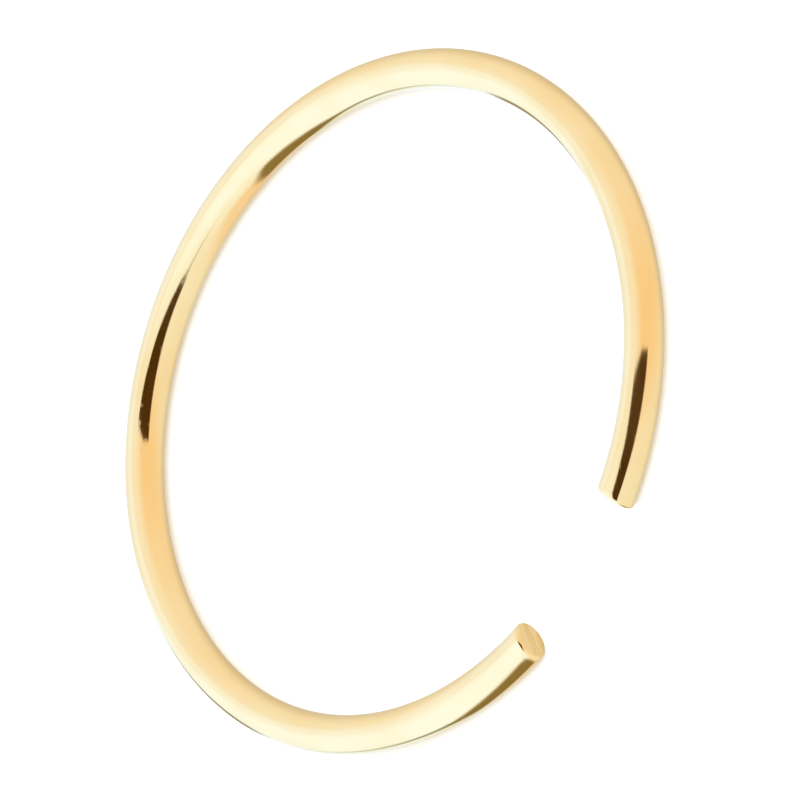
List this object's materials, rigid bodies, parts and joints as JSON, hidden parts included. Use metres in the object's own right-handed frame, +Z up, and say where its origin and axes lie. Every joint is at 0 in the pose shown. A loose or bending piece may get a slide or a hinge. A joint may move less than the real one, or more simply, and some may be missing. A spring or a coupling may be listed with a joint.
{
  "type": "nose ring",
  "caption": "Plain open hoop nose ring of round polished gold wire bent into a circle, with a narrow opening between its slant-cut ends.",
  "frame": {"origin": "under the middle of the ring, on the surface it lies on", "axes": "+Z up, square to the ring's plane, the ring lying on its side; -Y from the middle of the ring towards the opening between its ends; +X to the right of that opening"},
  "size_m": [0.009, 0.0089, 0.0005],
  "materials": {
    "gold": null
  },
  "bodies": {
    "root": {"hoop": "gold"}
  },
  "joints": []
}
